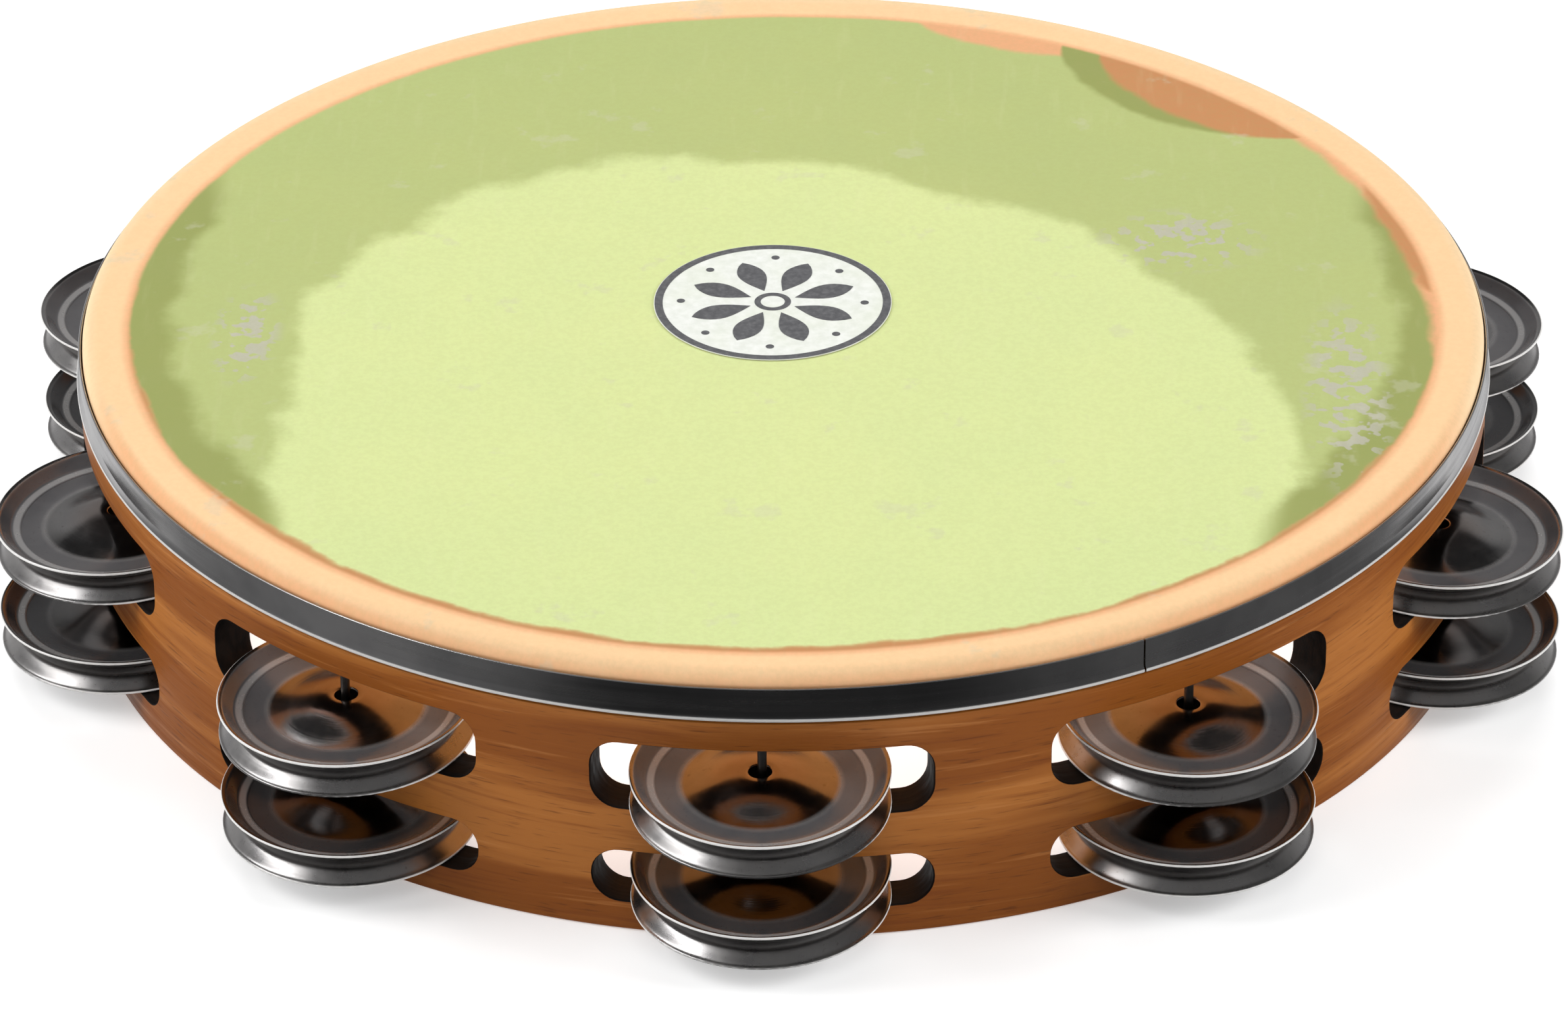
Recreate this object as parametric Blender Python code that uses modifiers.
"""Ten-inch headed tambourine with two rows of jingles.

A wooden shell carries two rows of ten slots. One long pin stands in the middle of
the wall at each of the ten places, and two pairs of jingles slide on it, one pair in
each row. A skin is stretched over the rounded top edge of the shell and is held by a
thin metal hoop that sits in a shallow rebate.

The frame is in metres with +Z up. The origin is at the centre of the shell's bottom
edge, and the first jingle place is at the front, on -Y.
"""
import math

import bmesh
import bpy
from mathutils import Matrix

# ---- driving dimensions, metres ---------------------------------------------------
FIT_GAP = 0.00025               # space kept between two pieces that touch
RING_STEPS = 60                 # facets round the shell, the skin and the hoop

PLACES = 10                     # jingle places round the shell
SHELL_OUTER_RADIUS = 0.1269     # a nominal 10 in shell
SHELL_INNER_RADIUS = 0.1192
SHELL_EDGE_CHAMFER = 0.0008
OVERALL_HEIGHT = 0.0526         # bottom edge of the shell to the top of the skin

SKIN_THICKNESS = 0.0004
SKIN_OUTER_RADIUS = 0.12625     # the skirt of the skin, where the hoop clamps it
SKIN_SHOULDER_RADIUS = 0.0028   # how far the skin turns over the edge of the shell
SHOULDER_FACETS = 3

HOOP_TOP = 0.0498
HOOP_BOTTOM = 0.0434
HOOP_THICKNESS = 0.0005
HOOP_BEAD = 0.0005              # how far the hoop's lower edge is rolled outwards
HOOP_SEAM_GAP = 0.0005
HOOP_SEAM_ANGLE = math.radians(30.5)

SLOT_HALF_WIDTH = 0.0293
UPPER_SLOT = (0.0246, 0.0374)   # floor and roof of the upper row of slots
LOWER_SLOT = (0.0059, 0.0159)   # floor and roof of the lower row
SLOT_CORNER_RADIUS = 0.0048
SLOT_CORNER_FACETS = 3
CUTTER_LENGTH = 0.030           # cutters reach well past both faces of the wall

PIN_RADIUS = 0.0008
PIN_BOTTOM = 0.0012
PIN_TOP = 0.0412
PIN_STEPS = 10

JINGLE_RADIUS = 0.0221
JINGLE_HOLE_RADIUS = 0.0020
JINGLE_THICKNESS = 0.0006
JINGLE_VALLEY_RADIUS = 0.0125   # the ring where the two jingles of a pair touch
JINGLE_RIM_RISE = 0.0027        # from the valley up to the rim
JINGLE_DOME_RADIUS = 0.0060
JINGLE_DOME_RISE = 0.0021
JINGLE_HOLE_RISE = 0.0025
JINGLE_STEPS = 16

BADGE_RADIUS = 0.0215
BADGE_THICKNESS = 0.0002
BADGE_GAP = 0.0001
BADGE_CENTRE = (-0.0019, 0.0020)
BADGE_STEPS = 32

# ---- worked out from them ---------------------------------------------------------
PIN_CIRCLE_RADIUS = (SHELL_OUTER_RADIUS + SHELL_INNER_RADIUS) / 2
SKIN_INNER_RADIUS = SKIN_OUTER_RADIUS - SKIN_THICKNESS
REBATE_RADIUS = SKIN_INNER_RADIUS - FIT_GAP
REBATE_LEDGE = HOOP_BOTTOM - FIT_GAP
SHOULDER_CENTRE = (SKIN_OUTER_RADIUS - SKIN_SHOULDER_RADIUS,
                   OVERALL_HEIGHT - SKIN_SHOULDER_RADIUS)
SKIN_INNER_TURN = SKIN_SHOULDER_RADIUS - SKIN_THICKNESS
SHELL_TURN = SKIN_INNER_TURN - FIT_GAP
SHELL_TOP = SHOULDER_CENTRE[1] + SHELL_TURN
HOOP_INNER_RADIUS = SKIN_OUTER_RADIUS + FIT_GAP
SKIRT_BOTTOM = HOOP_BOTTOM + FIT_GAP

OBJECT_NAME = "tambourine"


def new_collection(name):
    """A collection linked to the scene."""
    collection = bpy.data.collections.new(name)
    bpy.context.scene.collection.children.link(collection)
    return collection


def make_material(name, colour, roughness, metallic=0.0):
    """A Principled material."""
    material = bpy.data.materials.new(name)
    material.use_nodes = True
    shader = material.node_tree.nodes["Principled BSDF"]
    shader.inputs["Base Color"].default_value = (*colour, 1.0)
    shader.inputs["Roughness"].default_value = roughness
    shader.inputs["Metallic"].default_value = metallic
    return material


def add_object(name, mesh, collection, material=None):
    """An object for a mesh, in a collection."""
    piece = bpy.data.objects.new(name, mesh)
    collection.objects.link(piece)
    if material is not None:
        mesh.materials.append(material)
    return piece


def smooth(mesh, angle=math.radians(35)):
    """Smooth shading with sharp corners kept."""
    mesh.shade_smooth()
    mesh.set_sharp_from_angle(angle=angle)


def arc(centre, radius, start, end, facets):
    """Points along a round stretch of a profile, from one angle to another."""
    points = []
    for step in range(facets + 1):
        angle = start + (end - start) * step / facets
        points.append((centre[0] + radius * math.cos(angle), centre[1] + radius * math.sin(angle)))
    return points


def turned_mesh(name, profile, steps, closed=True):
    """The mesh of a profile in the XZ plane turned about Z with a Screw modifier.

    The profile runs down the outer side, from top to bottom. One that isn't closed
    starts and ends on the axis.
    """
    outline = bpy.data.meshes.new(name + "_profile")
    edges = [(i, i + 1) for i in range(len(profile) - 1)]
    if closed:
        edges.append((len(profile) - 1, 0))
    outline.from_pydata([(r, 0.0, z) for r, z in profile], edges, [])
    helper = bpy.data.objects.new(name + "_profile", outline)
    bpy.context.scene.collection.objects.link(helper)
    screw = helper.modifiers.new("turn", "SCREW")
    screw.axis = "Z"
    screw.steps = steps
    screw.render_steps = steps
    screw.use_merge_vertices = True
    screw.merge_threshold = 0.00001
    bpy.context.view_layer.update()
    graph = bpy.context.evaluated_depsgraph_get()
    mesh = bpy.data.meshes.new_from_object(helper.evaluated_get(graph))
    mesh.name = name
    bpy.data.objects.remove(helper)
    bpy.data.meshes.remove(outline)
    return mesh


def place_matrix(place):
    """Turns the front place, on -Y, round to another place."""
    return Matrix.Rotation(math.tau * place / PLACES, 4, "Z")


def rounded_bar(size, corner_radius, corner_facets):
    """A box mesh, centred on the origin, with its four edges along Y rounded."""
    bar = bmesh.new()
    bmesh.ops.create_cube(bar, size=1.0, matrix=Matrix.Diagonal((*size, 1.0)))
    long_edges = [e for e in bar.edges if abs(e.verts[0].co.y - e.verts[1].co.y) > size[1] / 2]
    bmesh.ops.bevel(bar, geom=long_edges, offset=corner_radius, offset_type="OFFSET",
                    segments=corner_facets, profile=0.5, affect="EDGES")
    return bar


def append_copy(target, source, matrix):
    """Adds a moved copy of one bmesh to another."""
    scratch = bpy.data.meshes.new("scratch")
    source.to_mesh(scratch)
    scratch.transform(matrix)
    target.from_mesh(scratch)
    bpy.data.meshes.remove(scratch)


def around_places(source, height):
    """One bmesh holding a copy of a piece at every jingle place."""
    ring = bmesh.new()
    for place in range(PLACES):
        centre = Matrix.Translation((0.0, -PIN_CIRCLE_RADIUS, height))
        append_copy(ring, source, place_matrix(place) @ centre)
    return ring


def mesh_from(name, shape):
    """Turns a bmesh into a mesh and frees it."""
    mesh = bpy.data.meshes.new(name)
    shape.to_mesh(mesh)
    shape.free()
    return mesh


def pin_shape(radius, length):
    """A closed upright cylinder centred on the origin."""
    pin = bmesh.new()
    bmesh.ops.create_cone(pin, cap_ends=True, segments=PIN_STEPS, radius1=radius, radius2=radius,
                          depth=length)
    return pin


def make_cutter(name, mesh, collection):
    """A hidden object that only cuts others."""
    cutter = add_object(name, mesh, collection)
    cutter.hide_render = True
    cutter.display_type = "WIRE"
    return cutter


def cut(piece, cutter):
    """Takes a cutter out of a piece with an exact Boolean."""
    modifier = piece.modifiers.new("cut_" + cutter.name, "BOOLEAN")
    modifier.operation = "DIFFERENCE"
    modifier.solver = "EXACT"
    modifier.object = cutter


def make_shell(parts, cutters, material):
    """The bent wooden shell: rounded top edge, rebate for the hoop, slots and pin holes."""
    profile = arc(SHOULDER_CENTRE, SHELL_TURN, math.pi / 2, 0.0, SHOULDER_FACETS)
    profile += [
        (REBATE_RADIUS, REBATE_LEDGE),
        (SHELL_OUTER_RADIUS, REBATE_LEDGE),
        (SHELL_OUTER_RADIUS, SHELL_EDGE_CHAMFER),
        (SHELL_OUTER_RADIUS - SHELL_EDGE_CHAMFER, 0.0),
        (SHELL_INNER_RADIUS + SHELL_EDGE_CHAMFER, 0.0),
        (SHELL_INNER_RADIUS, SHELL_EDGE_CHAMFER),
        (SHELL_INNER_RADIUS, SHELL_TOP - SHELL_EDGE_CHAMFER),
        (SHELL_INNER_RADIUS + SHELL_EDGE_CHAMFER, SHELL_TOP),
    ]
    shell = add_object("wooden_shell", turned_mesh("wooden_shell", profile, RING_STEPS), parts, material)
    smooth(shell.data)

    for name, (floor, roof) in (("upper_slot_cutters", UPPER_SLOT), ("lower_slot_cutters", LOWER_SLOT)):
        size = (2 * SLOT_HALF_WIDTH, CUTTER_LENGTH, roof - floor)
        bar = rounded_bar(size, SLOT_CORNER_RADIUS, SLOT_CORNER_FACETS)
        ring = around_places(bar, (floor + roof) / 2)
        bar.free()
        cut(shell, make_cutter(name, mesh_from(name, ring), cutters))

    hole_top = PIN_TOP + FIT_GAP
    hole_bottom = -FIT_GAP
    drill = pin_shape(PIN_RADIUS + FIT_GAP, hole_top - hole_bottom)
    ring = around_places(drill, (hole_top + hole_bottom) / 2)
    drill.free()
    cut(shell, make_cutter("pin_hole_cutters", mesh_from("pin_hole_cutters", ring), cutters))


def make_skin(parts, material):
    """The drum skin: a flat membrane that turns over the shell's edge into a short skirt."""
    outer = arc(SHOULDER_CENTRE, SKIN_SHOULDER_RADIUS, math.pi / 2, 0.0, SHOULDER_FACETS)
    inner = arc(SHOULDER_CENTRE, SKIN_INNER_TURN, 0.0, math.pi / 2, SHOULDER_FACETS)
    profile = [(0.0, OVERALL_HEIGHT)] + outer
    profile += [(SKIN_OUTER_RADIUS, SKIRT_BOTTOM), (SKIN_INNER_RADIUS, SKIRT_BOTTOM)]
    profile += inner + [(0.0, OVERALL_HEIGHT - SKIN_THICKNESS)]
    mesh = turned_mesh("drum_skin", profile, RING_STEPS, closed=False)
    smooth(mesh)
    add_object("drum_skin", mesh, parts, material)


def make_hoop(parts, cutters, material):
    """The thin metal hoop round the skirt, open at one narrow butt seam."""
    outer = HOOP_INNER_RADIUS + HOOP_THICKNESS
    bead = outer + HOOP_BEAD
    profile = [
        (outer, HOOP_TOP),
        (outer, HOOP_BOTTOM + 3 * HOOP_BEAD),
        (bead, HOOP_BOTTOM + 2 * HOOP_BEAD),
        (bead, HOOP_BOTTOM),
        (HOOP_INNER_RADIUS, HOOP_BOTTOM),
        (HOOP_INNER_RADIUS, HOOP_TOP),
    ]
    hoop = add_object("metal_hoop", turned_mesh("metal_hoop", profile, RING_STEPS), parts, material)
    smooth(hoop.data)

    height = HOOP_TOP - HOOP_BOTTOM
    seam = bmesh.new()
    size = Matrix.Diagonal((HOOP_SEAM_GAP, CUTTER_LENGTH, 2 * height, 1.0))
    middle = Matrix.Translation((0.0, -outer, HOOP_BOTTOM + height / 2))
    place = Matrix.Rotation(HOOP_SEAM_ANGLE, 4, "Z") @ middle
    bmesh.ops.create_cube(seam, size=1.0, matrix=place @ size)
    cut(hoop, make_cutter("seam_cutter", mesh_from("seam_cutter", seam), cutters))


def make_pins(parts, material):
    """One long pin at each place, standing in the wall through both slots."""
    mesh = mesh_from("jingle_pin", pin_shape(PIN_RADIUS, PIN_TOP - PIN_BOTTOM))
    smooth(mesh)
    mesh.materials.append(material)
    for place in range(PLACES):
        pin = add_object(f"jingle_pin_{place + 1:02d}", mesh, parts)
        stand = Matrix.Translation((0.0, -PIN_CIRCLE_RADIUS, (PIN_TOP + PIN_BOTTOM) / 2))
        pin.matrix_world = place_matrix(place) @ stand


def make_badge(parts, material):
    """The round badge on the skin."""
    badge = bmesh.new()
    bmesh.ops.create_cone(badge, cap_ends=True, segments=BADGE_STEPS, radius1=BADGE_RADIUS,
                          radius2=BADGE_RADIUS, depth=BADGE_THICKNESS)
    piece = add_object("head_badge", mesh_from("head_badge", badge), parts, material)
    piece.location = (*BADGE_CENTRE, OVERALL_HEIGHT + BADGE_GAP + BADGE_THICKNESS / 2)


def jingle_mesh(material):
    """One jingle, rim up: a raised dome round the hole, a valley and a flared rim."""
    lower_side = [
        (JINGLE_RADIUS, JINGLE_RIM_RISE),
        (JINGLE_VALLEY_RADIUS, 0.0),
        (JINGLE_DOME_RADIUS, JINGLE_DOME_RISE),
        (JINGLE_HOLE_RADIUS, JINGLE_HOLE_RISE),
    ]
    upper_side = [(r, z + JINGLE_THICKNESS) for r, z in reversed(lower_side)]
    mesh = turned_mesh("jingle", upper_side + lower_side, JINGLE_STEPS)
    smooth(mesh)
    mesh.materials.append(material)
    return mesh


def make_jingles(parts, material):
    """Two pairs of jingles at each place, back to back, resting on the slots' floors."""
    mesh = jingle_mesh(material)
    jingle_height = JINGLE_RIM_RISE + JINGLE_THICKNESS
    rim_down = Matrix.Rotation(math.pi, 4, "X")
    for row, (floor, _) in (("upper_row", UPPER_SLOT), ("lower_row", LOWER_SLOT)):
        valley = floor + FIT_GAP + jingle_height
        for place in range(PLACES):
            for level, height, turn in (("bottom_jingle", valley, rim_down),
                                        ("top_jingle", valley + FIT_GAP, Matrix.Identity(4))):
                piece = add_object(f"{row}_{place + 1:02d}_{level}", mesh, parts)
                stand = Matrix.Translation((0.0, -PIN_CIRCLE_RADIUS, height))
                piece.matrix_world = place_matrix(place) @ stand @ turn


def main():
    """Builds the tambourine."""
    for old in list(bpy.data.objects):
        bpy.data.objects.remove(old)
    parts = new_collection(OBJECT_NAME)
    cutters = new_collection(OBJECT_NAME + "_cutters")

    wood = make_material("stained_wood", (0.30, 0.115, 0.035), 0.42)
    hide = make_material("natural_skin", (0.74, 0.70, 0.44), 0.55)
    steel = make_material("pin_steel", (0.12, 0.12, 0.12), 0.35, 1.0)
    nickel = make_material("black_nickel", (0.10, 0.10, 0.105), 0.22, 1.0)
    jingle_nickel = make_material("jingle_nickel", (0.13, 0.125, 0.13), 0.28, 1.0)
    print_ink = make_material("badge_print", (0.55, 0.55, 0.56), 0.6)

    make_shell(parts, cutters, wood)
    make_skin(parts, hide)
    make_hoop(parts, cutters, nickel)
    make_pins(parts, steel)
    make_badge(parts, print_ink)
    make_jingles(parts, jingle_nickel)


main()
